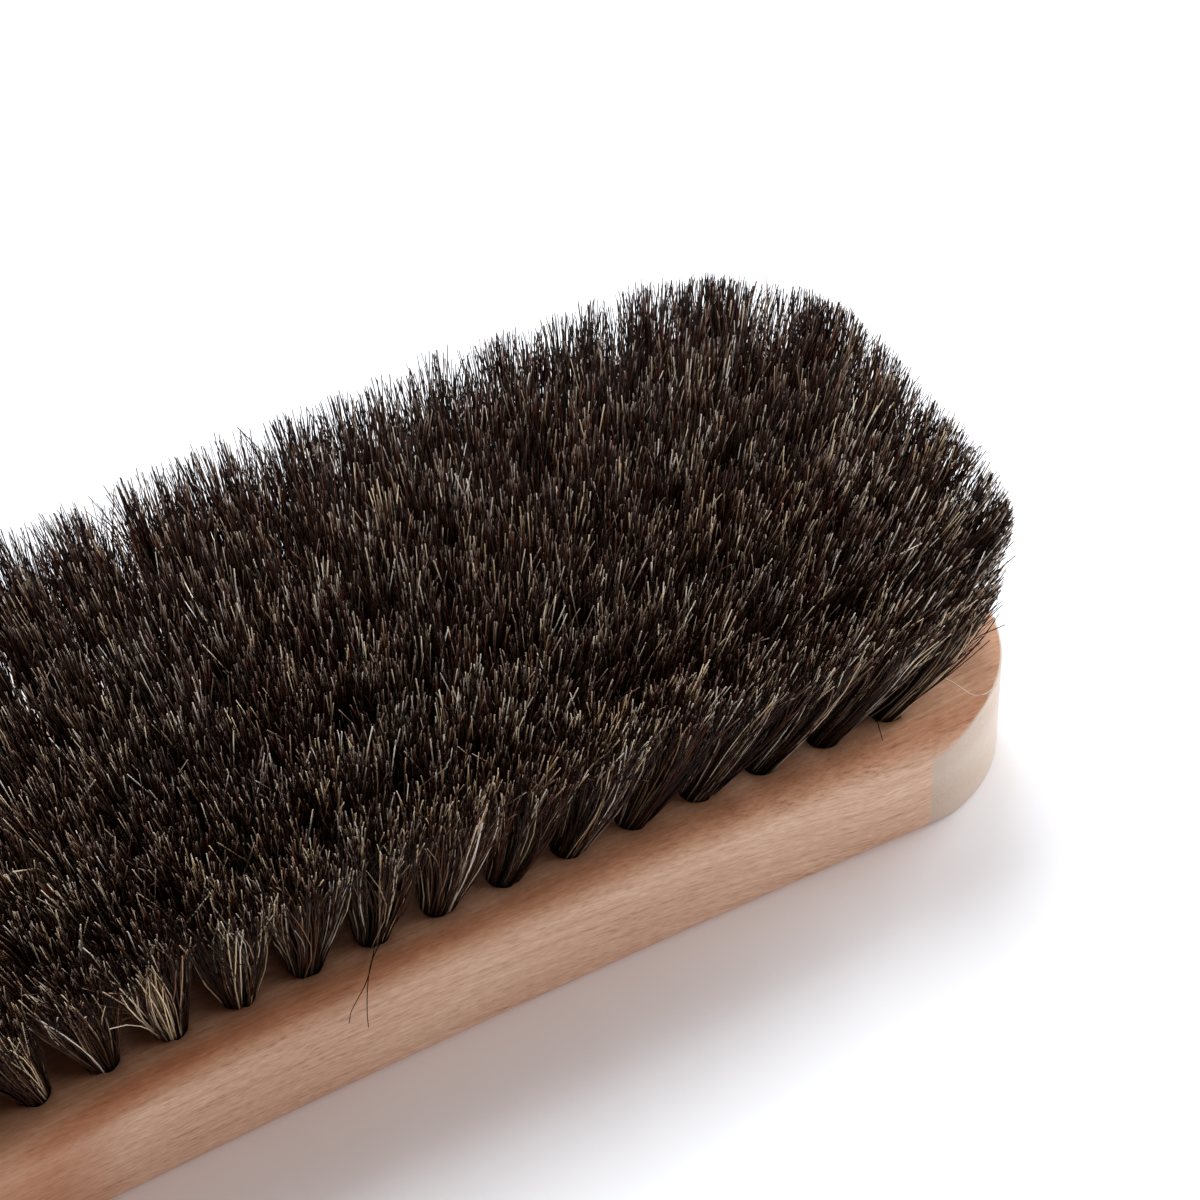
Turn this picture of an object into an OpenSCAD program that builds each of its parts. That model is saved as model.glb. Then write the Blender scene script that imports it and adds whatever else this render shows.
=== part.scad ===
// Shoe shine brush with a beech stock and horsehair tufts, lying on its back.
// X runs along the brush, Y across it, Z up from the back towards the bristles.
// The origin is the middle of the flat back.

/* [Stock] */
// Length of the wooden stock
stock_l = 165; // [150:1:190]
// Width of the stock where its corners begin
stock_w = 57; // [51:1:63]
// Thickness of the stock
stock_t = 14.5; // [12.5:0.5:18]
// How far each long side draws in at the middle
waist = 1.4; // [0.5:0.1:2.5]
// Radius of the four upright corners
corner_r = 16.5; // [12:0.5:20]
// Radius of the moulded long edges on the bristle face
edge_r = 3.75; // [2:0.25:4]
// Radius of the long edges on the back
back_r = 0.75; // [0.5:0.25:2]

/* [Holes] */
// Diameter of the drilled blind holes
hole_d = 3.8; // [3.2:0.1:4.2]
// Depth of the holes along their own axis
hole_depth = 8.5; // [7:0.5:9.5]
// Distance from the end of the stock to the last hole
end_inset = 10.5; // [9:0.5:13]
// Distance from the long side to the first hole
side_inset = 7; // [6.6:0.1:8.6]

/* [Bristles] */
// Height of the trimmed bristles above the stock, in the middle
bristle_h = 24.5; // [18.5:1:30.5]
// How much lower the trim is at the two ends
end_drop = 4.5; // [0:0.5:6]
// How much lower the trim is along the two sides
side_drop = 2; // [0:0.5:4]
// Lean of the tufts nearest the two ends, in degrees
end_lean = 24; // [10:1:26]
// Lean of the tufts nearest the two sides, in degrees
side_lean = 17; // [8:1:22]

/* [Anchor wire] */
// Thickness of the flat anchor wire
wire_t = 0.45; // [0.3:0.05:0.6]
// Width of the flat anchor wire, which stands on edge
wire_w = 1.7; // [1.2:0.1:2]
// How far each end of a wire bites into the wall of its hole
wire_bite = 0.2; // [0.1:0.05:0.3]

/* [Hidden] */
// Cross rows from the left end to the right end, and tufts in a full cross row
ROWS = 19;
ACROSS = 6;
function two_digits(i) = str(i < 10 ? "0" : "", i);
function tuft_name(i) = str("tuft_row_", two_digits(i));
function anchor_name(i) = str("anchor_row_", two_digits(i));

// The long sides are arcs as wide as the stock where the corners begin
waist_x = stock_l / 2 - corner_r;
waist_r = (waist_x * waist_x + waist * waist) / (2 * waist);
mid_half_w = stock_w / 2 - waist;
function half_width(x) = mid_half_w + waist_r - sqrt(waist_r * waist_r - min(x * x, waist_x * waist_x));

// Holes lie on a square lattice that follows the waist and skips the corners
last_x = stock_l / 2 - end_inset;
pitch = 2 * last_x / (ROWS - 1);
corner_slack = 0.1;
corner_clear = corner_r - side_inset + corner_slack;
function row_x(i) = (i - (ROWS + 1) / 2) * pitch;
function row_y(x, v) = v * (half_width(x) - side_inset);
function beyond(a, limit) = max(abs(a) - limit, 0);
function fits_corner(x, y) =
    norm([beyond(x, waist_x), beyond(y, stock_w / 2 - corner_r)]) <= corner_clear;
function row_spots(i) = [
    for (j = [0:ACROSS - 1])
        let (x = row_x(i), v = 2 * j / (ACROSS - 1) - 1, y = row_y(x, v))
        if (fits_corner(x, y)) [x, y, x / last_x, v]
];
spots = [for (i = [1:ROWS]) each row_spots(i)];

// A spot is [x, y, u, v], where u and v run from -1 to 1 along and across the brush
function lean(s) = [tan(end_lean * s[2]), tan(side_lean * s[3])];
function tilt(s) = atan(norm(lean(s)));
function heading(s) = atan2(lean(s)[1], lean(s)[0]);
function trim_height(s) = bristle_h - end_drop * s[2] * s[2] - side_drop * s[3] * s[3];

// Each tuft is a round bundle that parts above the stock into four spreading strands,
// which together stay within the tuft's own cell of the lattice
across_pitch = 2 * (mid_half_w - side_inset) / (ACROSS - 1);
cell = min(pitch, across_pitch);
bundle_r = hole_d / 2 - 0.05;
bundle_h = 2.5;
bundle_sides = 8;
strands = 4;
strand_spread = 0.36 * cell;
strand_w = 0.28 * cell;
strand_turn = 14;
strand_uneven = 0.8;
wire_l = hole_d + 2 * wire_bite;
drill_run = 3;

wood = "#c8a283";
hair = "#3b2c22";
steel = "#b9bbbd";

// Repeatable unevenness from -1 to 1 for strand number k of the tuft at spot s
function uneven(s, k) = sin(137.5 * (s[0] / pitch + 7 * s[3] + 3 * k) + 40 * s[0] * s[3] + 61 * k);

// Draws children in a hole's own frame: z along its axis, zero where it meets the bristle face
module at_hole(s) {
    translate([s[0], s[1], stock_t])
        rotate([0, tilt(s), heading(s)])
            rotate([0, 0, -heading(s)])
                children();
}

module wire_blank() {
    translate([0, 0, -hole_depth + wire_w / 2])
        cube([wire_l, wire_t, wire_w], center = true);
}

// Section of the stock across one moulded long edge, from the side inwards
module moulded_section() {
    translate([edge_r, 0])
        square([stock_w, stock_t]);
    translate([0, back_r])
        square([2 * edge_r, stock_t - back_r - edge_r]);
    translate([back_r, 0])
        square([2 * edge_r, stock_t / 2]);
    translate([edge_r, stock_t - edge_r])
        circle(r = edge_r, $fn = 64);
    translate([back_r, back_r])
        circle(r = back_r, $fn = 64);
}

// Everything inwards of one waisted long side
module moulded_side() {
    sweep = 2 * atan(stock_l / waist_r);
    translate([0, -mid_half_w - waist_r, 0])
        rotate([0, 0, 90 - sweep / 2])
            rotate_extrude(angle = sweep, $fn = 1440)
                translate([waist_r, 0])
                    moulded_section();
}

// Outline of the stock with its four round corners
module outline() {
    square([stock_l, stock_w - 2 * corner_r], center = true);
    square([stock_l - 2 * corner_r, stock_w], center = true);
    for (sx = [-1, 1], sy = [-1, 1])
        translate([sx * (stock_l / 2 - corner_r), sy * (stock_w / 2 - corner_r)])
            circle(r = corner_r, $fn = 180);
}

module stock() {
    color(wood)
        difference() {
            intersection() {
                linear_extrude(stock_t)
                    outline();
                moulded_side();
                mirror([0, 1, 0])
                    moulded_side();
            }
            for (s = spots)
                at_hole(s) {
                    translate([0, 0, -hole_depth])
                        cylinder(d = hole_d, h = hole_depth + drill_run, $fn = 48);
                    wire_blank();
                }
        }
}

// Corner n of the bundle, at height z
function bundle_point(n, z) =
    let (a = (n + 0.5) * 360 / bundle_sides) [bundle_r * cos(a), bundle_r * sin(a), z];

// The four corners of the trimmed end of strand k, in the order of its foot
function strand_end(s, k) =
    let (
        a = (2 * k + 1.5) * 360 / bundle_sides + strand_turn * uneven(s, k),
        z = trim_height(s) / cos(tilt(s)) + strand_uneven * uneven(s, k + 5),
        middle = strand_spread * [cos(a), sin(a)]
    )
    [for (turn = [180, -90, 0, 90])
        let (p = middle + strand_w / 2 * [cos(a + turn), sin(a + turn)])
        [p[0], p[1], z]];

// Points are the bottom ring, the top ring, the middle of the top, then four for each strand end
module tuft(s) {
    z0 = -hole_depth + wire_w;
    n = bundle_sides;
    points = concat(
        [for (i = [0:n - 1]) bundle_point(i, z0)],
        [for (i = [0:n - 1]) bundle_point(i, bundle_h)],
        [[0, 0, bundle_h]],
        [for (k = [0:strands - 1]) each strand_end(s, k)]
    );
    foot = function (k) [2 * n, n + 2 * k, n + 2 * k + 1, n + (2 * k + 2) % n];
    tip = function (k) [for (q = [0:3]) 2 * n + 1 + 4 * k + q];
    walls = [for (i = [0:n - 1])
        let (j = (i + 1) % n)
        each [[i, n + j, j], [i, n + i, n + j]]];
    floor_fan = [for (i = [1:n - 2]) [0, i, i + 1]];
    strand_walls = [for (k = [0:strands - 1], q = [0:3])
        let (f = foot(k), t = tip(k), r = (q + 1) % 4)
        each [[f[q], t[r], f[r]], [f[q], t[q], t[r]]]];
    strand_caps = [for (k = [0:strands - 1])
        let (t = tip(k))
        each [[t[0], t[2], t[1]], [t[0], t[3], t[2]]]];
    polyhedron(points, concat(walls, floor_fan, strand_walls, strand_caps));
}

module tuft_row(i) {
    color(hair)
        for (s = row_spots(i))
            at_hole(s)
                tuft(s);
}

module anchor_row(i) {
    color(steel)
        for (s = row_spots(i))
            at_hole(s)
                wire_blank();
}

stock();
for (i = [1:ROWS]) tuft_row(i);
for (i = [1:ROWS]) anchor_row(i);
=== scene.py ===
# %% [markdown]
# # A shoe shine brush
#
# A shine brush is a block of beech with bunches of horsehair pulled into blind holes. There is no glue and
# no cover: a short flat wire holds each bunch by its fold at the bottom of its hole. The brush lies on its
# flat back, bristles up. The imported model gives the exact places. This lesson dresses it: first the camera,
# the floor and the light, then the block as one closed surface, then about forty-six thousand hairs.

# %% The frame that everything sits in
import bpy
import numpy as np
from mathutils import Matrix, Vector
from mathutils.geometry import delaunay_2d_cdt


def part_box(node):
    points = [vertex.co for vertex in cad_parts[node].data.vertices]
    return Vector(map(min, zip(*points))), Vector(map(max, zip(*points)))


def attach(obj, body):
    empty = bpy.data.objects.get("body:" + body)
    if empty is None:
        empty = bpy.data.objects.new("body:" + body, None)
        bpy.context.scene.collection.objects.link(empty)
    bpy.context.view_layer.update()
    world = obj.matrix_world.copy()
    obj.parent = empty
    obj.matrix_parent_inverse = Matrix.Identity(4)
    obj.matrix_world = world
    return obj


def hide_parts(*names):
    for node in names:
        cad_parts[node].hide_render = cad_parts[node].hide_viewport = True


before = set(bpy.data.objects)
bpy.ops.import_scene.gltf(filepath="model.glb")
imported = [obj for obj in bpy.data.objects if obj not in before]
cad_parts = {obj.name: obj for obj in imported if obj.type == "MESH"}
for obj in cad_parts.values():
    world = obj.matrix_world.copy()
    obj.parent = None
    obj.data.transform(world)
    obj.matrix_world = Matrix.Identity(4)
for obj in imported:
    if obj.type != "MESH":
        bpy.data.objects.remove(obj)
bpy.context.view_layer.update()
mm = 0.001

# %% [markdown]
# ## The brush in numbers
#
# Everything below is worked out in millimetres, in the frame of the model: X along the brush, Y across it,
# Z up from the back. The block's length, width and thickness are read off its node. The holes lie on a
# square lattice that follows the drawn-in long sides and skips the four corners, and each hole leans
# outwards, so that the tufts spread like a fan. The hair stands HAIR_H over the face in the middle, and
# less by END_DROP at the two ends and by SIDE_DROP along the two sides.

# %% Sizes of the block and the fan of holes
low, high = np.array(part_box("stock")) / mm
LENGTH, WIDTH, THICK = high - low
WAIST = 1.4
CORNER_R = 16.5
FACE_R = 3.75
BACK_R = 0.75
HOLE_R = 1.9
HOLE_DEPTH = 8.5
END_INSET = 10.5
SIDE_INSET = 7.0
CORNER_SLACK = 0.1
HAIR_H = 27.1
END_DROP = 5.0
SIDE_DROP = 2.0
END_LEAN = 24.0
SIDE_LEAN = 17.0
ROWS = 19
ACROSS = 6

flat_x = LENGTH / 2 - CORNER_R
waist_arc = (flat_x ** 2 + WAIST ** 2) / (2 * WAIST)


def side_line(x):
    """Half the width at x: the middle half width, plus a circle's sagitta of radius waist_arc."""
    return WIDTH / 2 - WAIST + waist_arc - np.sqrt(waist_arc ** 2 - x ** 2)


def row_spots(row):
    """Holes of one cross row, as x, y, u, v and the slope of the axis in X and Y, one line each."""
    last_x = LENGTH / 2 - END_INSET
    x = np.full(ACROSS, (row - (ROWS + 1) / 2) * 2 * last_x / (ROWS - 1))
    v = np.linspace(-1, 1, ACROSS)
    y = v * (side_line(np.minimum(np.abs(x), flat_x)) - SIDE_INSET)
    past_x = np.maximum(np.abs(x) - flat_x, 0)
    past_y = np.maximum(np.abs(y) - (WIDTH / 2 - CORNER_R), 0)
    keep = np.hypot(past_x, past_y) <= CORNER_R - SIDE_INSET + CORNER_SLACK
    u = x / last_x
    slope_x = np.tan(np.radians(END_LEAN * u))
    slope_y = np.tan(np.radians(SIDE_LEAN * v))
    return np.stack([x, y, u, v, slope_x, slope_y], axis=1)[keep]


spots = np.concatenate([row_spots(row) for row in range(1, ROWS + 1)])
print(f"block {LENGTH:.1f} x {WIDTH:.1f} x {THICK:.1f} mm, {len(spots)} holes")

# %% [markdown]
# ## The camera
#
# A catalogue picture is taken from far away with a long lens, so parallel edges stay nearly parallel. The
# camera's place comes from the photograph: the near row of holes, the outline of the block and the skyline
# of the hair were matched with points on the model. The match gives a focal length in pixels of the square
# picture, and the lens follows from it in millimetres on a 36 mm wide sensor.

# %% Camera
AZIMUTH = np.radians(-28.117)
ELEVATION = np.radians(47.726)
ROLL = np.radians(-2.0)
TARGET = np.array([44.95, 9.534, 14.0])
DISTANCE = 483.75
FOCAL_PIXELS = 4223.9
PICTURE_PIXELS = 1200
SENSOR = 36
LENS = FOCAL_PIXELS * SENSOR / PICTURE_PIXELS

back = np.array([
    np.sin(AZIMUTH) * np.cos(ELEVATION),
    -np.cos(AZIMUTH) * np.cos(ELEVATION),
    np.sin(ELEVATION),
])
level = np.array([np.cos(AZIMUTH), np.sin(AZIMUTH), 0.0])
upright = np.cross(back, level)
right = np.cos(ROLL) * level + np.sin(ROLL) * upright
up = np.cos(ROLL) * upright - np.sin(ROLL) * level

camera_data = bpy.data.cameras.new("camera")
camera_data.lens = LENS
camera_data.sensor_width = SENSOR
camera_data.clip_start = 0.01
camera = bpy.data.objects.new("camera", camera_data)
bpy.context.scene.collection.objects.link(camera)
turn = Matrix(np.stack([right, up, back], axis=1).tolist()).to_4x4()
camera.matrix_world = Matrix.Translation(Vector((TARGET + back * DISTANCE) * mm)) @ turn
bpy.context.scene.camera = camera
bpy.context.scene.view_settings.view_transform = "Standard"
print(f"lens {LENS:.0f} mm from {DISTANCE:.0f} mm away")

# %% [markdown]
# ## Arithmetic on shader sockets
#
# A procedural material is mostly sums: this noise times that mask, plus a little. Wiring each sum by hand
# hides the idea, so a small class wraps a number coming out of a node. Adding or multiplying it adds the
# Math node that does so, and a | b is the larger of the two. Every other node comes from one method that
# takes the node's type, its settings and the values of its inputs.

# %% A value in a material, and a finish that holds its nodes
class Value:
    """A number that comes out of a shader node. Sums on it add Math nodes."""

    def __init__(self, finish, socket):
        self.finish = finish
        self.socket = socket

    def math(self, operation, a, b=0.0, clamp=False):
        """A Math node on a and b, either of which may be a plain number."""
        settings = {"operation": operation, "use_clamp": clamp}
        return self.finish.add("ShaderNodeMath", settings, {0: a, 1: b})

    def __add__(self, other):
        return self.math("ADD", self, other)

    def __radd__(self, other):
        return self.math("ADD", other, self)

    def __sub__(self, other):
        return self.math("SUBTRACT", self, other)

    def __rsub__(self, other):
        return self.math("SUBTRACT", other, self)

    def __mul__(self, other):
        return self.math("MULTIPLY", self, other)

    def __rmul__(self, other):
        return self.math("MULTIPLY", other, self)

    def __truediv__(self, other):
        return self.math("DIVIDE", self, other)

    def __or__(self, other):
        return self.math("MAXIMUM", self, other)

    def __abs__(self):
        return self.math("ABSOLUTE", self)

    def clip(self):
        """The value held between 0 and 1."""
        return self.math("ADD", self, 0.0, clamp=True)

    def above(self, low, high):
        """0 below low, 1 above high, and a straight slope between."""
        return ((self - low) / (high - low)).clip()


class Finish:
    """A material whose nodes are added one by one."""

    def __init__(self, name):
        self.material = bpy.data.materials.new(name)
        self.material.use_nodes = True
        self.nodes = self.material.node_tree.nodes
        self.links = self.material.node_tree.links
        self.nodes.clear()
        self.output = self.nodes.new("ShaderNodeOutputMaterial")

    def add(self, kind, settings=None, inputs=None, out=0):
        """Adds a node, sets its settings, then its inputs, and returns one of its outputs."""
        node = self.nodes.new(kind)
        for key, setting in (settings or {}).items():
            if key == "stops":
                self.set_stops(node.color_ramp, setting)
            else:
                setattr(node, key, setting)
        for key, given in (inputs or {}).items():
            if isinstance(given, Value):
                self.links.new(given.socket, node.inputs[key])
            else:
                node.inputs[key].default_value = given
        return Value(self, node.outputs[out])

    def set_stops(self, ramp, stops):
        """Gives a colour ramp its stops, as (place, colour) pairs."""
        while len(ramp.elements) < len(stops):
            ramp.elements.new(1.0)
        for element, (place, colour) in zip(ramp.elements, stops):
            element.position = place
            element.color = (*colour, 1.0)

    def mix(self, factor, a, b, blend="MIX"):
        """Colour a turning into colour b as factor goes from 0 to 1."""
        settings = {"data_type": "RGBA", "blend_type": blend}
        a = a if isinstance(a, Value) else (*a, 1.0)
        b = b if isinstance(b, Value) else (*b, 1.0)
        return self.add("ShaderNodeMix", settings, {"Factor": factor, 6: a, 7: b}, out=2)

    def place(self, stretch):
        """Object coordinates in millimetres, multiplied by stretch."""
        where = self.add("ShaderNodeTexCoord", out="Object")
        size = tuple(1000.0 * s for s in stretch)
        return self.add("ShaderNodeMapping", None, {"Vector": where, "Scale": size})

    def millimetres(self):
        """X, Y and Z of the point in millimetres, as three values to do sums on."""
        where = self.place((1.0, 1.0, 1.0))
        return [self.add("ShaderNodeSeparateXYZ", None, {0: where}, out=axis) for axis in range(3)]

    def noise(self, stretch, detail=2.0, rough=0.5, warped=None):
        """Noise on object coordinates, or on warped, three values in millimetres."""
        if warped is None:
            where = self.place(stretch)
        else:
            scaled = {axis: value * size for axis, (value, size) in enumerate(zip(warped, stretch))}
            where = self.add("ShaderNodeCombineXYZ", None, scaled)
        inputs = {"Vector": where, "Scale": 1.0, "Detail": detail, "Roughness": rough}
        return self.add("ShaderNodeTexNoise", {"noise_dimensions": "3D"}, inputs)

    def finish(self, surface):
        """Joins the surface to the output and returns the material."""
        self.links.new(surface.socket, self.output.inputs["Surface"])
        return self.material


def srgb(red, green, blue):
    """A colour given 0 to 255, as the light values that a shader wants."""
    c = np.array([red, green, blue]) / 255
    return tuple(float(x) for x in np.where(c <= 0.04045, c / 12.92, ((c + 0.055) / 1.055) ** 2.4))


print("shader arithmetic is ready")

# %% [markdown]
# ## Floor, backdrop and light
#
# The brush was photographed on white paper that is lit until it clips. Raising the lamps would burn the
# wood, so the paper gets a faint warm glow that only the camera and reflections see, and the camera sees
# the room as plain white. The key lamp hangs above the brush and a little behind it, so that a soft shadow
# falls forwards. A low lamp on the right lights the end of the block, the rim of the hair and the paper
# beside the corner, and a small one in front on the right lifts the long side. The lamps are cool and the
# room is warm, so the shadow turns slightly pink, as it does in the photograph.

# %% Floor and world
PAPER_WHITE = 0.92
PAPER_GLOW = 0.04


def paper_floor(half=3.0, drop=0.0001):
    """A square sheet, half its width and its drop under the brush given in metres."""
    corners = [(-half, -half, -drop), (half, -half, -drop), (half, half, -drop), (-half, half, -drop)]
    mesh = bpy.data.meshes.new("floor")
    mesh.from_pydata(corners, [], [(0, 1, 2, 3)])
    floor = bpy.data.objects.new("floor", mesh)
    bpy.context.scene.collection.objects.link(floor)
    paper = Finish("white_paper")
    diffuse = paper.add("ShaderNodeBsdfPrincipled", None, {
        "Base Color": (PAPER_WHITE, PAPER_WHITE, PAPER_WHITE, 1.0),
        "Roughness": 0.9,
        "Specular IOR Level": 0.0,
    })
    seen = paper.add("ShaderNodeLightPath", out="Is Camera Ray")
    mirrored = paper.add("ShaderNodeLightPath", out="Is Glossy Ray")
    glow = paper.add("ShaderNodeEmission", None, {
        "Color": (1.0, 0.3, 0.1, 1.0),
        "Strength": (seen + mirrored) * PAPER_GLOW,
    })
    both = paper.add("ShaderNodeAddShader", None, {0: diffuse, 1: glow})
    mesh.materials.append(paper.finish(both))


def studio_world(fill, tint):
    """A room: fill and tint are its light on the brush, while the camera sees plain white."""
    world = bpy.data.worlds.new("white_room")
    world.use_nodes = True
    bpy.context.scene.world = world
    nodes = world.node_tree.nodes
    links = world.node_tree.links
    nodes.clear()
    path = nodes.new("ShaderNodeLightPath")
    colour = nodes.new("ShaderNodeMix")
    colour.data_type = "RGBA"
    colour.inputs[6].default_value = tuple(fill * t for t in tint) + (1.0,)
    colour.inputs[7].default_value = (1.0, 1.0, 1.0, 1.0)
    links.new(path.outputs["Is Camera Ray"], colour.inputs[0])
    background = nodes.new("ShaderNodeBackground")
    links.new(colour.outputs[2], background.inputs["Color"])
    output = nodes.new("ShaderNodeOutputWorld")
    links.new(background.outputs[0], output.inputs["Surface"])


def softbox(name, place, aim, size, power, colour):
    """A lamp of the given width and height in metres at place, facing aim, both in millimetres."""
    data = bpy.data.lights.new(name, "AREA")
    data.shape = "RECTANGLE"
    data.size = size[0]
    data.size_y = size[1]
    data.energy = power
    data.color = colour
    lamp = bpy.data.objects.new(name, data)
    bpy.context.scene.collection.objects.link(lamp)
    here = Vector(place) * mm
    facing = (Vector(aim) * mm - here).to_track_quat("-Z", "Y")
    lamp.matrix_world = Matrix.Translation(here) @ facing.to_matrix().to_4x4()


WARM = (1.0, 0.70, 0.60)
COOL = (0.84, 0.93, 1.0)
ROOM_LIGHT = 0.20

paper_floor()
studio_world(ROOM_LIGHT, WARM)
softbox("key", (70, 350, 820), (50, 0, 10), (0.46, 0.48), 8.2, COOL)
softbox("right_side", (900, 190, 480), (40, 0, 10), (0.7, 0.7), 8.2, COOL)
softbox("front_fill", (430, -300, 240), (60, 0, 10), (0.3, 0.3), 1.1, COOL)
print("floor, room and lamps stand")

# %% [markdown]
# ## Meshes from arrays
#
# A surface here is a grid of points worked out by numpy in one go. This helper hands whole arrays to the
# mesh, which is far quicker than adding faces one by one. Faces with three and four corners are given
# separately, each with its corners running round anticlockwise as seen from outside. The quads are the
# curved walls and are shaded smooth. The triangles are flat ends and faces.

# %% From arrays to a mesh piece
def mesh_piece(name, points, quads, tris):
    """A mesh object from points in millimetres, an array of quads and an array of triangles."""
    quads = np.asarray(quads, dtype=np.int32).reshape(-1, 4)
    tris = np.asarray(tris, dtype=np.int32).reshape(-1, 3)
    corners = np.concatenate([quads.ravel(), tris.ravel()])
    starts = np.concatenate([np.arange(len(quads)) * 4, quads.size + np.arange(len(tris)) * 3])
    mesh = bpy.data.meshes.new(name)
    mesh.vertices.add(len(points))
    mesh.vertices.foreach_set("co", (np.asarray(points, dtype=np.float64) * mm).ravel())
    mesh.loops.add(len(corners))
    mesh.loops.foreach_set("vertex_index", corners)
    mesh.polygons.add(len(starts))
    mesh.polygons.foreach_set("loop_start", starts)
    smooth = np.arange(len(starts)) < len(quads)
    mesh.polygons.foreach_set("use_smooth", smooth)
    mesh.update(calc_edges=True)
    mesh.validate()
    piece = bpy.data.objects.new(name, mesh)
    bpy.context.scene.collection.objects.link(piece)
    return piece


def tag_points(piece, name, values):
    """Stores one number per point, for a material to read."""
    layer = piece.data.attributes.new(name, "FLOAT", "POINT")
    layer.data.foreach_set("value", np.asarray(values, dtype=np.float32))


print("mesh helpers are ready")

# %% [markdown]
# ## The block of beech
#
# The real block is sawn from a plank, its ends are rounded on a spindle, and then a cutter moulds the two
# long edges. The order shows: the moulding runs straight through, so where it meets a round corner it
# leaves a crisp curved edge. One function can hold all that. At each height the outline is a rectangle with
# round corners whose points are pulled in to the moulded side wherever they stand outside it. A soft
# minimum, in place of a hard one, breaks the crisp edge by a hair's breadth, as sandpaper does.

# %% Outline of the block at any height
SIDE_STEPS = 120
END_STEPS = 24
CORNER_STEPS = 160
TOP_BREAK = 0.3
FOOT_BREAK = 0.25
CREST_BREAK = 0.28


def rounded_outline():
    """Points round a rectangle with round corners, anticlockwise, with their outward directions."""
    half = LENGTH / 2
    side = WIDTH / 2
    along = np.linspace(-flat_x, flat_x, SIDE_STEPS + 1)[:-1]
    ends = np.linspace(-(side - CORNER_R), side - CORNER_R, END_STEPS + 1)[:-1]
    turn = np.linspace(0, np.pi / 2, CORNER_STEPS + 1)[:-1]
    corners = np.array([[1, -1], [1, 1], [-1, 1], [-1, -1]]) * [flat_x, side - CORNER_R]
    parts = []
    pulls = []
    # Each round corner is followed by the straight that leaves it: an end first, then a long side
    for quarter, centre in enumerate(corners):
        start = -np.pi / 2 + quarter * np.pi / 2
        aim = np.stack([np.cos(start + turn), np.sin(start + turn)], axis=1)
        parts.append(centre + CORNER_R * aim)
        pulls.append(aim)
        if quarter % 2 == 0:
            sign = 1 - quarter
            parts.append(np.stack([np.full(len(ends), sign * half), sign * ends], axis=1))
            pulls.append(np.tile([float(sign), 0.0], (len(ends), 1)))
        else:
            sign = quarter - 2
            parts.append(np.stack([along * sign, np.full(len(along), -sign * side)], axis=1))
            pulls.append(np.tile([0.0, -float(sign)], (len(along), 1)))
    return np.concatenate(parts), np.concatenate(pulls)


def rounding(z, radius, edge):
    """How far a quarter-round edge of this radius has pulled in at height z, where it ends at edge."""
    depth = np.clip(radius - np.abs(edge - z), 0, radius)
    return radius - np.sqrt(radius ** 2 - depth ** 2)


def soft_min(a, b, width):
    """The smaller of a and b, with the crossing rounded over about width."""
    blend = np.clip(0.5 + 0.5 * (b - a) / width, 0, 1)
    return a * blend + b * (1 - blend) - width * blend * (1 - blend)


def block_ring(z):
    """Outline at each height in z: shape (heights, points, 3)."""
    flat, pull = rounded_outline()
    z = np.asarray(z)[:, None]
    nick = rounding(z, TOP_BREAK, THICK) + rounding(z, FOOT_BREAK, 0.0)
    x = flat[None, :, 0] - pull[None, :, 0] * nick
    y = flat[None, :, 1] - pull[None, :, 1] * nick
    moulded = side_line(x) - rounding(z, FACE_R, THICK) - rounding(z, BACK_R, 0.0)
    y = np.sign(y) * soft_min(np.abs(y), moulded, CREST_BREAK)
    return np.stack([x, y, np.broadcast_to(z, x.shape)], axis=2)


# Levels crowd where the surface curves: at the foot, over the moulding and at the broken top edge
foot_turn = np.linspace(0, np.pi / 2, 10)
face_turn = np.linspace(0, np.pi / 2, 22)[1:-1]
heights = np.concatenate([
    BACK_R * (1 - np.cos(foot_turn)),
    [2.0, 4.0, 6.0, 8.0, 9.5],
    THICK - FACE_R + FACE_R * np.sin(face_turn),
    THICK - np.array([0.28, 0.24, 0.19, 0.14, 0.1, 0.06, 0.03, 0.012, 0.0]),
])
heights = np.unique(np.round(heights, 4))
shell = block_ring(heights)
print(f"outline has {shell.shape[1]} points at {len(heights)} heights")

# %% [markdown]
# The bristle face has 110 holes in it, so it can't be a plain grid. A Delaunay triangulation that keeps the
# outline and the rims of the holes as edges fills the rest. A leaning drill leaves an oval mouth: each rim
# point is where a line on the drill's side crosses the face. Below the mouth the wall follows the drill to
# the bottom of the hole, and the same points carry on, so the block stays one closed skin.

# %% Rims and walls of the leaning holes
RIM = 36
MOUTH_RINGS = ((HOLE_R + 0.12, 0.0), (HOLE_R + 0.03, 0.06), (HOLE_R, 0.2))
WALL_RINGS = ((HOLE_R, 3.0), (HOLE_R, HOLE_DEPTH), (0.6, HOLE_DEPTH))


def hole_rings(spot):
    """Rings of a hole: level ones at the mouth, then ones square to the axis down to the bottom."""
    axis = np.array([spot[4], spot[5], 1.0])
    axis = axis / np.linalg.norm(axis)
    across = np.cross([0.0, 1.0, 0.0], axis)
    across = across / np.linalg.norm(across)
    other = np.cross(axis, across)
    angle = np.linspace(0, 2 * np.pi, RIM, endpoint=False)
    circle = np.cos(angle)[:, None] * across + np.sin(angle)[:, None] * other
    mouth = np.array([spot[0], spot[1], THICK])
    rings = []
    for radius, drop in MOUTH_RINGS:
        ring = mouth + radius * circle
        climb = (THICK - drop - ring[:, 2]) / axis[2]
        rings.append(ring + climb[:, None] * axis)
    for radius, depth in WALL_RINGS:
        rings.append(mouth + radius * circle - depth * axis)
    return np.array(rings)


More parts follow.
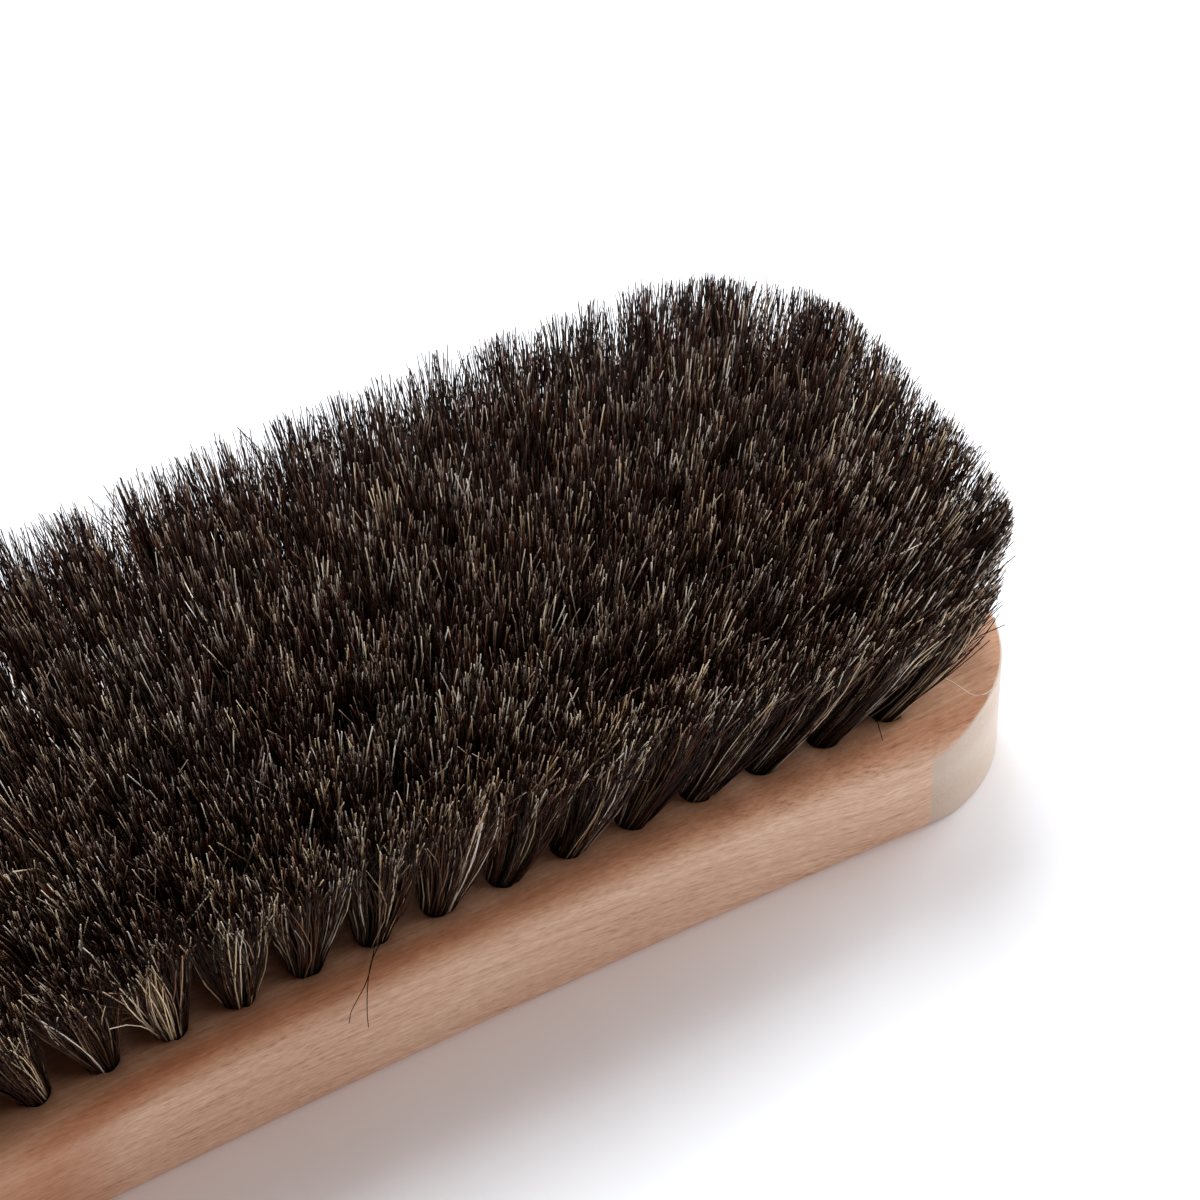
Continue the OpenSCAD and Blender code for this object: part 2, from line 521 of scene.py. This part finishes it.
def triangulate(flat, edges):
    """Triangles between points in a plane that keep the given edges, as numbers of the points."""
    _, _, faces, source, _, _ = delaunay_2d_cdt([Vector(p) for p in flat], edges, [], 1, 1e-6)
    origin = np.array([s[0] for s in source])
    return origin[np.array(faces)]


def build_block():
    """The whole skin: side grid, flat back, bristle face with holes, and the hole walls."""
    levels, around = shell.shape[:2]
    points = [shell.reshape(-1, 3)]
    step = np.arange(around)
    following = (step + 1) % around
    base = np.arange(levels - 1)[:, None] * around
    wall = [base + step, base + following, base + around + following, base + around + step]
    quads = [np.stack(wall, axis=2).reshape(-1, 4)]
    rings = np.array([hole_rings(spot) for spot in spots])
    holes, depth = rings.shape[:2]
    first = levels * around
    points.append(rings.reshape(-1, 3))
    ids = first + np.arange(holes * depth * RIM).reshape(holes, depth, RIM)
    above = ids[:, :-1]
    below = ids[:, 1:]
    wall = [above, np.roll(above, -1, 2), np.roll(below, -1, 2), below]
    quads.append(np.stack(wall, axis=3).reshape(-1, 4))
    last = ids[:, -1]
    fan = np.arange(1, RIM - 1)
    bottoms = np.stack([np.repeat(last[:, :1], RIM - 2, 1), last[:, fan], last[:, fan + 1]], axis=2)

    top_ids = np.concatenate([(levels - 1) * around + step, ids[:, 0].ravel()])
    flat = np.concatenate([shell[-1, :, :2], rings[:, 0, :, :2].reshape(-1, 2)])
    edges = [(int(a), int(b)) for a, b in zip(step, following)]
    ring_ids = around + np.arange(holes * RIM).reshape(holes, RIM)
    edges += [(int(a), int(b)) for a, b in zip(ring_ids.ravel(), np.roll(ring_ids, -1, 1).ravel())]
    faces = triangulate(flat, edges)
    middle = flat[faces].mean(axis=1)
    local = middle[:, None] - spots[None, :, :2]
    inside = (np.hypot(local[..., 0], local[..., 1]) < HOLE_R).any(axis=1)
    top = top_ids[faces[~inside]]
    bottom = triangulate(shell[0, :, :2], edges[:around])[:, ::-1]
    tris = np.concatenate([top, bottom, bottoms.reshape(-1, 3)])
    return np.concatenate(points), np.concatenate(quads), tris


block_points, block_quads, block_tris = build_block()
block = mesh_piece("beech_block", block_points, block_quads, block_tris)
in_hole = np.arange(len(block_points)) >= shell.shape[0] * shell.shape[1]
tag_points(block, "hole", in_hole)
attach(block, "root")
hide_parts("stock")
print(f"block: {len(block_points)} points, {len(block_quads)} quads, {len(block_tris)} triangles")

# %% [markdown]
# ## Beech
#
# Beech is a plain, pinkish wood. Its fibres run along the block. On the sides and the face they show as
# fine lines, with tiny darker and paler dashes, the rays. The bristle face is painted darker and redder
# than the sides: painted shade from the hair over it and the reddish light that the hair bounces. A dark
# band runs along the moulded near edge and fades towards the right. It is partly a growth ring and partly
# painted shade where the hair's shadow ends. The hole walls are darkened too: raw drilled wood with painted
# shade. At the ends the fibres are cut across, so the same wood looks paler and speckled. The pale part
# starts at an upright line where the round corner begins. All of it is noise in the block's own
# coordinates, stretched along X for the fibres, so the pattern goes through the wood and meets itself round
# every corner.

# %% Beech material
LONG_WOOD = [
    (0.0, srgb(178, 130, 100)),
    (0.35, srgb(219, 174, 144)),
    (0.60, srgb(232, 191, 162)),
    (1.0, srgb(248, 216, 189)),
]
END_WOOD = [
    (0.0, srgb(176, 142, 118)),
    (0.45, srgb(208, 184, 165)),
    (1.0, srgb(220, 202, 187)),
]
WHITE = (1.0, 1.0, 1.0)
# Painted shade: the bristle face is made darker and redder, for the hair's shade over it and the reddish
# light that the hair bounces onto it.
FACE_SHADE_TINT = (0.94, 0.765, 0.635)
# The dark band along the moulded near edge is partly a growth ring and partly painted shade where the hair's
# shadow ends.
RING_AND_SHADE_TINT = (0.80, 0.60, 0.49)
# The hole walls are raw drilled wood, darkened further as painted shade.
HOLE_WOOD_AND_SHADE = srgb(92, 60, 42)
RING_AND_SHADE_Y = -24.3
GRAIN_FALL = 9.0
PALE_X = flat_x - 0.3


def beech():
    """Fibres, rays and growth bands over a long and an end colour, with painted shade on the face, in the
    holes and in one band that is partly a growth ring.
    """
    wood = Finish("oiled_beech")
    x, y, z = wood.millimetres()
    past = ((x + 10.0) / 70.0).clip()
    grain = (x, y, z + past * past * GRAIN_FALL)
    fibres = wood.noise((0.035, 2.0, 2.0), 3.0, 0.6, grain)
    strokes = wood.noise((0.7, 5.0, 5.0), 2.0, 0.55, grain)
    bands = wood.noise((0.005, 0.14, 0.20), 2.0, 0.4, grain)
    cloud = wood.noise((0.03, 0.06, 0.06), 2.0, 0.5)
    dark_rays = wood.noise((0.9, 5.0, 5.0), 1.0, 0.4, grain).above(0.64, 0.74)
    pale_rays = wood.noise((0.8, 5.0, 5.0), 1.0, 0.4, grain).above(0.60, 0.72)
    speckle = wood.noise((3.4, 3.4, 3.4), 2.0, 0.7)

    left = (-15.0 - x).above(0.0, 30.0)
    right = (x - 10.0).above(0.0, 50.0)
    # The band: partly a growth ring, partly painted shade at the edge of the hair's shadow, fading towards
    # the right.
    ring = y - RING_AND_SHADE_Y + left * left * 3.9 + right * right * 1.7 + (bands - 0.5) * 2.0
    ring_and_shade = 1.0 - (ring * ring).above(0.0, 3.0)
    strength = 1.0 - (x + 40.0).above(0.0, 90.0) * 0.55

    facing = wood.add("ShaderNodeNewGeometry", out="Normal")
    end_on = wood.add("ShaderNodeSeparateXYZ", None, {0: facing}, out=0)
    flat_on = wood.add("ShaderNodeSeparateXYZ", None, {0: facing}, out=2)
    past_side = (abs(x) - PALE_X).above(0.0, 0.5) * (1.0 - flat_on.above(0.05, 0.3))
    end_grain = (end_on * end_on).above(0.004, 0.016) | past_side
    # Painted shade on the face and the upper moulding, picked out by how far the surface faces up.
    face_shade = flat_on.above(0.35, 0.8)

    tone = (bands - 0.5) * 0.4 + (fibres - 0.5) * 0.9 + (strokes - 0.5) * 1.1 + (cloud - 0.5) * 0.5 + 0.49
    long_tone = (tone - dark_rays * 0.15 + pale_rays * 0.12).clip()
    end_tone = ((bands - 0.5) * 0.6 + (speckle - 0.5) * 0.6 + (cloud - 0.5) * 0.4 + 0.55).clip()
    long_colour = wood.add("ShaderNodeValToRGB", {"stops": LONG_WOOD}, {"Fac": long_tone})
    long_colour = wood.mix(1.0, long_colour, wood.mix(face_shade, WHITE, FACE_SHADE_TINT), "MULTIPLY")
    long_colour = wood.mix(1.0, long_colour, wood.mix(ring_and_shade * strength, WHITE, RING_AND_SHADE_TINT), "MULTIPLY")
    end_colour = wood.add("ShaderNodeValToRGB", {"stops": END_WOOD}, {"Fac": end_tone})
    colour = wood.mix(end_grain, long_colour, end_colour)
    in_hole = wood.add("ShaderNodeAttribute", {"attribute_name": "hole"}, out="Fac")
    # Raw wood and painted shade down the holes.
    colour = wood.mix(in_hole * 0.55, colour, HOLE_WOOD_AND_SHADE)

    relief = fibres * 0.4 + strokes * 0.8 - dark_rays * 0.5 + speckle * 0.25
    bump = wood.add("ShaderNodeBump", None, {"Strength": 0.5, "Distance": 0.00006, "Height": relief})
    shine = wood.add("ShaderNodeBsdfPrincipled", None, {
        "Base Color": colour,
        "Roughness": 0.44 + (fibres - 0.5) * 0.2 + dark_rays * 0.08,
        "Specular IOR Level": 0.42,
        "Normal": bump,
    })
    return wood.finish(shine)


block.data.materials.append(beech())
print("beech is on")

# %% [markdown]
# ## Anchor wires
#
# The short wires at the bottom of the holes keep their solids from the model, because their shape is exact.
# They are drawn wire: grey, fairly smooth, with faint lines along their length from the die.

# %% Steel for the anchor wires
def drawn_wire():
    """Grey metal with faint lines along the wire and dull patches."""
    steel = Finish("drawn_steel")
    lines = steel.noise((0.3, 30.0, 30.0), 3.0, 0.6)
    dull = steel.noise((1.2, 1.2, 1.2), 2.0, 0.5)
    bump = steel.add("ShaderNodeBump", None, {"Strength": 0.3, "Distance": 0.00002, "Height": lines})
    colour = steel.mix(dull, srgb(168, 169, 171), srgb(196, 197, 199))
    shine = steel.add("ShaderNodeBsdfPrincipled", None, {
        "Base Color": colour,
        "Metallic": 1.0,
        "Roughness": 0.28 + dull * 0.2,
        "Normal": bump,
    })
    return steel.finish(shine)


wire_finish = drawn_wire()
for row in range(1, ROWS + 1):
    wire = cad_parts[f"anchor_row_{row:02d}"]
    for place in wire.material_slots:
        place.material = wire_finish
print("wires are steel")

# %% [markdown]
# ## Horsehair
#
# A tuft is a bunch of hairs folded in two round its wire. It leaves the hole as a tight round bundle and
# then opens, because every hair has a bend of its own and the neighbours stop pushing. The hairs cling
# together in small locks, which leaves dark gaps. At the end all of them were trimmed with one cut to a
# gently domed face with an outline like the block's.
#
# Each hair is a thin three-sided tube. Its path is a function of one parameter from root to tip, so all the
# hairs of a row are a single array: hairs by stations by three coordinates. Each cross row is one piece and
# stands for that row's tufts in the model.

# %% Paths of the hairs
HAIRS = 420
LOCKS = 30
LOCK_PULL = 0.66
OWN_PULL = 0.34
SHORT_SHARE = 0.12
STRAY_SHARE = 0.05
STATIONS = 6
SIDES = 3
ROOT_DEPTH = 1.6
BUNDLE_R = HOLE_R - 0.10
TIP_SPREAD = np.array([4.4, 5.3])
LEAN_START = np.array([1.07, 0.92])
LEAN_BEND = np.array([-0.21, -0.07])
LEAN_SWEEP = np.array([-0.05, -0.02])
CORNER_FILL = 3.5
TRIM_HALF = np.array([82.9, 32.4])
TRIM_R = 23.0


def unit(v):
    """Each vector divided by its length."""
    return v / np.maximum(np.linalg.norm(v, axis=-1, keepdims=True), 1e-9)


def disc(random, count):
    """Even random points in a circle of radius 1."""
    angle = random.uniform(0, 2 * np.pi, count)
    radius = np.sqrt(random.uniform(0, 1, count))
    return np.stack([radius * np.cos(angle), radius * np.sin(angle)], axis=1)


def squared(p):
    """Pushes points of a round bunch out towards a square, so that neighbouring bunches leave no gap."""
    reach = np.maximum(np.abs(p).max(axis=1, keepdims=True), 1e-9)
    return p * (np.linalg.norm(p, axis=1, keepdims=True) / reach) ** 0.8


def gathered(p):
    """Moves tips near or past the trimmed outline inside it: gap g becomes -3 exp(-(g + 3) / 3)."""
    past = np.abs(p) - (TRIM_HALF - TRIM_R)
    out = np.maximum(past, 0)
    far = np.linalg.norm(out, axis=1)
    gap = far + np.minimum(past.max(axis=1), 0) - TRIM_R
    wanted = np.where(gap > -3, -3 * np.exp(-(gap + 3) / 3), gap)
    shift = (wanted - gap)[:, None] * out / np.maximum(far, 1e-9)[:, None]
    return p + np.sign(p) * shift


def tuft_paths(random, spot):
    """Centre lines of one tuft's hairs, and the number of the lock that each hair is in.

    At rise r over the face a hair is at hole + r (start + bend r / HAIR_H) slope + offset. The offset goes
    from the hair's place in the tight bundle to that of its tip as the tuft opens by 1 - (1 - q) ^ 1.6.
    """
    x, y, u, v, slope_x, slope_y = spot
    rooted = disc(random, HAIRS)
    locks = disc(random, LOCKS)
    lock = np.argmin(np.linalg.norm(rooted[:, None] - locks[None], axis=2), axis=1)
    height = HAIR_H - END_DROP * u ** 2 - SIDE_DROP * v ** 2
    height = height + random.normal(0, 0.3, LOCKS)[lock] + random.normal(0, 0.38, HAIRS)
    short = random.uniform(0, 1, HAIRS) < SHORT_SHARE
    height = height - short * random.uniform(1.0, 7.0, HAIRS)
    t = np.linspace(0, 1, STATIONS)[None, :, None]
    rise = -ROOT_DEPTH + (height[:, None, None] + ROOT_DEPTH) * t
    q = np.clip((rise + 0.3) / HAIR_H, 0, 1)
    opened = 1 - (1 - q) ** 1.6

    at_corner = abs(u) ** 6 * abs(v)
    corner = CORNER_FILL * at_corner * np.array([np.sign(u), np.sign(v)])
    wide = TIP_SPREAD * (1 + 0.3 * at_corner)
    tip = squared(locks[lock] * LOCK_PULL + rooted * OWN_PULL) * wide + corner
    tip = tip + random.normal(0, 0.5, (LOCKS, 2))[lock] + random.normal(0, 0.36, (HAIRS, 2))
    stray = (random.uniform(0, 1, HAIRS) < STRAY_SHARE)[:, None, None]
    offset = rooted[:, None] * BUNDLE_R * (1 - opened) + tip[:, None] * opened
    wave = random.normal(0, 1, (HAIRS, 1, 2)) * np.where(stray, 0.6, 0.28)
    phase = random.uniform(0, 2 * np.pi, (HAIRS, 1, 1))
    offset = offset + wave * (np.sin(phase + 4.5 * t) - np.sin(phase)) * opened ** 0.5
    curl = random.normal(0, 1, (HAIRS, 1, 2)) * np.where(stray, 2.8, 1.15)
    offset = offset + curl * t ** 3

    slope = np.array([slope_x, slope_y])
    bend = LEAN_BEND * slope + LEAN_SWEEP
    level = np.array([x, y]) + rise * (LEAN_START * slope + bend * rise / HAIR_H) + offset
    pull = gathered(level[:, -1]) - level[:, -1]
    level = level + pull[:, None] * opened
    return np.concatenate([level, THICK + rise], axis=2), lock


print(f"{HAIRS} hairs to a tuft, in {LOCKS} locks")

# %% [markdown]
# A tube follows its path with two directions square to it, from a guide direction g and the way ahead a:
# out = g - (g . a) a, made one long, and beside = a x out. The ring at each station is the centre plus
# radius (cos f out + sin f beside), for the angles f of the three corners.
#
# Every hair carries three numbers for its material. Shade runs from 0, black, to 1, nearly white. Hue runs
# from 0, neutral, through gold to 1, chestnut. Along runs from the root to the tip. Hairs of one lock are
# alike, a pale hair is never chestnut, and the near side and the left end are a little warmer. The far side
# and the right end are a little darker, which is painted shade, and the tufts at the right end turn warmer,
# which is painted light shining through the hair.

# %% Tubes and rows
def hair_tubes(random, paths, radius):
    """Points, quads and end triangles of three-sided tubes along paths."""
    count, stations = paths.shape[:2]
    ahead = unit(np.gradient(paths, axis=1))
    spin = random.uniform(0, 2 * np.pi, (count, 1))
    guide = np.stack([np.cos(spin), np.sin(spin), np.zeros_like(spin)], axis=2)
    out = unit(guide - (guide * ahead).sum(axis=2, keepdims=True) * ahead)
    beside = np.cross(ahead, out)
    angle = np.arange(SIDES) * 2 * np.pi / SIDES
    ring = np.cos(angle)[:, None] * out[:, :, None] + np.sin(angle)[:, None] * beside[:, :, None]
    points = paths[:, :, None] + radius[:, :, None, None] * ring
    ids = np.arange(count * stations * SIDES).reshape(count, stations, SIDES)
    lower = ids[:, :-1]
    upper = ids[:, 1:]
    quads = np.stack([lower, np.roll(lower, -1, 2), np.roll(upper, -1, 2), upper], axis=3).reshape(-1, 4)
    tris = np.concatenate([ids[:, 0, ::-1], ids[:, -1]])
    return points.reshape(-1, 3), quads, tris


def hair_piece(name, points, quads, tris, shade, hue, along):
    """A piece of hair with its three numbers on every point."""
    piece = mesh_piece(name, points, quads, tris)
    tag_points(piece, "shade", shade)
    tag_points(piece, "hue", hue)
    tag_points(piece, "along", along)
    return piece


def hair_row(row):
    """One cross row of tufts as a single piece."""
    random = np.random.default_rng(700 + row)
    here = row_spots(row)
    tufts = len(here)
    bunches = [tuft_paths(random, spot) for spot in here]
    paths = np.concatenate([bunch[0] for bunch in bunches])
    lock = np.concatenate([bunch[1] + k * LOCKS for k, bunch in enumerate(bunches)])
    count = len(paths)
    u, v = np.repeat(here[:, 2:4], HAIRS, axis=0).T
    shade = random.uniform(0, 1, count) + random.normal(0, 0.08, tufts * LOCKS)[lock]
    # Darker towards the far side and the right end: painted shade.
    shade = np.clip(shade - 0.03 * u - 0.07 * v - 0.03, 0, 1)
    hue = random.normal(0, 0.08, tufts).repeat(HAIRS) + random.normal(0, 0.18, tufts * LOCKS)[lock]
    hue = hue + random.normal(0.45, 0.22, count) - 0.12 * u
    # The tufts at the right end turn warmer: painted light shining through the hair. The near side is warmer
    # from gold hairs.
    hue = hue + 0.12 * np.clip(-v, 0, 1) ** 3 + 0.12 * np.clip(u, 0, 1) ** 6
    hue = np.clip(np.minimum(hue, 1.45 - 0.8 * shade), 0, 1)
    thickness = random.uniform(0.055, 0.10, (count, 1)) * np.where(shade > 0.9, 1.1, 1.0)[:, None]
    taper = np.linspace(1.0, 0.72, STATIONS)[None]
    points, quads, tris = hair_tubes(random, paths, thickness * taper)
    per_hair = STATIONS * SIDES
    along = np.tile(np.linspace(0, 1, STATIONS).repeat(SIDES), count)
    piece = hair_piece(f"hair_row_{row:02d}", points, quads, tris,
                       shade.repeat(per_hair), hue.repeat(per_hair), along)
    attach(piece, "root")
    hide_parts(f"tuft_row_{row:02d}")
    return piece


hair_pieces = [hair_row(row) for row in range(1, ROWS + 1)]
print(f"{len(spots) * HAIRS} hairs in {len(hair_pieces)} pieces")

# %% [markdown]
# A few hairs have slipped out of line, as they do on every new brush. Each is given by a handful of points,
# matched with the photograph, after its radius, its shade and its hue. A Catmull-Rom curve runs
# smoothly through the points: between two of them it depends on those two and their outer neighbours only.

# %% Loose hairs
LOOSE = [
    (0.075, 0.05, 0.0, [(0.2, -21.2, 11.0), (-0.1, -21.5, 14.7), (-2.0, -24.1, 15.0),
                        (-3.7, -26.1, 15.0), (-6.3, -27.6, 13.6), (-6.9, -28.0, 12.2)]),
    (0.075, 0.05, 0.0, [(0.6, -21.4, 11.0), (0.4, -21.9, 14.7), (-2.0, -24.1, 15.2),
                        (-3.9, -26.8, 14.9), (-4.9, -28.4, 13.2), (-5.1, -28.8, 11.2)]),
    (0.09, 1.0, 0.4, [(66.4, -18.8, 12.0), (67.6, -20.0, 16.4), (69.6, -21.3, 16.4), (71.4, -22.2, 15.9),
                      (72.3, -23.8, 15.6), (73.0, -25.3, 15.4), (74.3, -25.9, 15.4), (76.6, -25.3, 15.4)]),
    (0.09, 0.92, 0.6, [(-25.0, -21.4, 11.0), (-24.8, -21.0, 14.9), (-25.6, -19.9, 16.2),
                       (-27.2, -19.6, 17.6), (-28.8, -19.7, 18.2), (-30.5, -20.0, 18.5)]),
    (0.08, 0.90, 0.6, [(-25.2, -21.2, 11.0), (-25.0, -20.9, 15.0), (-27.3, -19.0, 17.2),
                       (-28.7, -19.1, 18.7), (-30.9, -18.8, 20.0), (-32.5, -18.6, 21.0)]),
    (0.08, 0.90, 0.6, [(-25.1, -21.0, 11.0), (-25.1, -21.2, 18.0), (-26.0, -20.6, 20.4),
                       (-25.6, -20.8, 23.0), (-24.7, -21.3, 24.2)]),
    (0.12, 0.93, 0.4, [(-32.2, -21.6, 11.0), (-32.6, -21.6, 17.0), (-33.4, -21.4, 22.0),
                       (-34.8, -21.4, 27.0), (-35.3, -21.7, 29.0)]),
    (0.075, 0.05, 0.0, [(62.2, -20.6, 11.0), (62.0, -22.6, 14.8), (61.5, -24.2, 15.0),
                        (61.1, -25.5, 14.8)]),
]


def through(knots, steps=6):
    """Catmull-Rom curve: between b and c, with their outer neighbours a and d, it is
    (2b + (c - a) t + (2a - 5b + 4c - d) t^2 + (3b - a - 3c + d) t^3) / 2 for t from 0 to 1.
    """
    knots = np.asarray(knots)
    knots = np.concatenate([2 * knots[:1] - knots[1:2], knots, 2 * knots[-1:] - knots[-2:-1]])
    a, b, c, d = (knots[k:len(knots) - 3 + k, None] for k in range(4))
    t = np.linspace(0, 1, steps, endpoint=False)[None, :, None]
    curve = 2 * b + (c - a) * t + (2 * a - 5 * b + 4 * c - d) * t ** 2 + (3 * b - a - 3 * c + d) * t ** 3
    return np.concatenate([curve.reshape(-1, 3) / 2, knots[-2:-1]])


def loose_hairs():
    """All the loose hairs as one piece."""
    random = np.random.default_rng(640)
    hairs = []
    first = 0
    for radius, shade, hue, knots in LOOSE:
        path = through(knots)[None]
        stations = path.shape[1]
        taper = np.linspace(1.0, 0.7, stations)[None] * radius
        points, quads, tris = hair_tubes(random, path, taper)
        along = np.linspace(0, 0.9, stations).repeat(SIDES)
        hairs.append((points, quads + first, tris + first,
                      np.full(len(points), shade), np.full(len(points), hue), along))
        first += len(points)
    piece = hair_piece("loose_hairs", *(np.concatenate(column) for column in zip(*hairs)))
    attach(piece, "root")
    return piece


hair_pieces.append(loose_hairs())
print(f"{len(LOOSE)} loose hairs")

# %% [markdown]
# Horsehair is sold mixed. Most of it is black or dark brown, with some chestnut, some fair and a few grey
# hairs. The shade stored on each hair picks a tone on a ramp, and its hue picks the tint that multiplies
# it. Roots stand in each other's way and get little light, so painted shade darkens them further. The cut
# ends of fair hairs are lifted over their last stretch, partly because rough ends look lighter and partly
# as a painted highlight.

# %% Horsehair material
HAIR_TONES = [
    (0.0, srgb(16, 7, 4)),
    (0.45, srgb(37, 20, 12)),
    (0.64, srgb(54, 33, 22)),
    (0.72, srgb(86, 40, 28)),
    (0.81, srgb(96, 78, 68)),
    (0.89, srgb(142, 122, 108)),
    (0.95, srgb(202, 187, 173)),
    (1.0, srgb(248, 242, 234)),
]
HAIR_TINTS = [
    (0.0, (0.96, 0.96, 0.95)),
    (0.3, (1.0, 0.94, 0.85)),
    (0.6, (1.0, 0.86, 0.58)),
    (0.8, (1.0, 0.66, 0.42)),
    (1.0, (0.95, 0.48, 0.34)),
]
# The cut ends of fair hairs look lighter, partly because they are rough and partly as a painted highlight.
CUT_END_AND_HIGHLIGHT = srgb(198, 183, 168)
BLACK = (0.0, 0.0, 0.0)


def horsehair():
    """Tone times tint, with painted shade at the roots, and cut ends lifted partly as a painted highlight."""
    hair = Finish("horsehair")
    shade = hair.add("ShaderNodeAttribute", {"attribute_name": "shade"}, out="Fac")
    hue = hair.add("ShaderNodeAttribute", {"attribute_name": "hue"}, out="Fac")
    along = hair.add("ShaderNodeAttribute", {"attribute_name": "along"}, out="Fac")
    tone = hair.add("ShaderNodeValToRGB", {"stops": HAIR_TONES}, {"Fac": shade})
    tint = hair.add("ShaderNodeValToRGB", {"stops": HAIR_TINTS}, {"Fac": hue})
    colour = hair.mix(1.0, tone, tint, "MULTIPLY")
    low = 1.0 - along.above(0.15, 0.7)
    colour = hair.mix(low * 0.5, colour, BLACK)
    # Cut ends lifted: rough ends, and a painted highlight.
    cut_and_highlight = along.above(0.95, 1.0) * shade.above(0.5, 1.0) * 0.55
    colour = hair.mix(cut_and_highlight, colour, CUT_END_AND_HIGHLIGHT)
    patch = hair.noise((0.8, 0.8, 0.4), 2.0, 0.6)
    shine = hair.add("ShaderNodeBsdfPrincipled", None, {
        "Base Color": colour,
        "Roughness": 0.36 + patch * 0.16,
        "Specular IOR Level": 0.12,
    })
    return hair.finish(shine)


hair_finish = horsehair()
for piece in hair_pieces:
    piece.data.materials.append(hair_finish)
print("horsehair is on")

# %% [markdown]

# %% End
print("done")
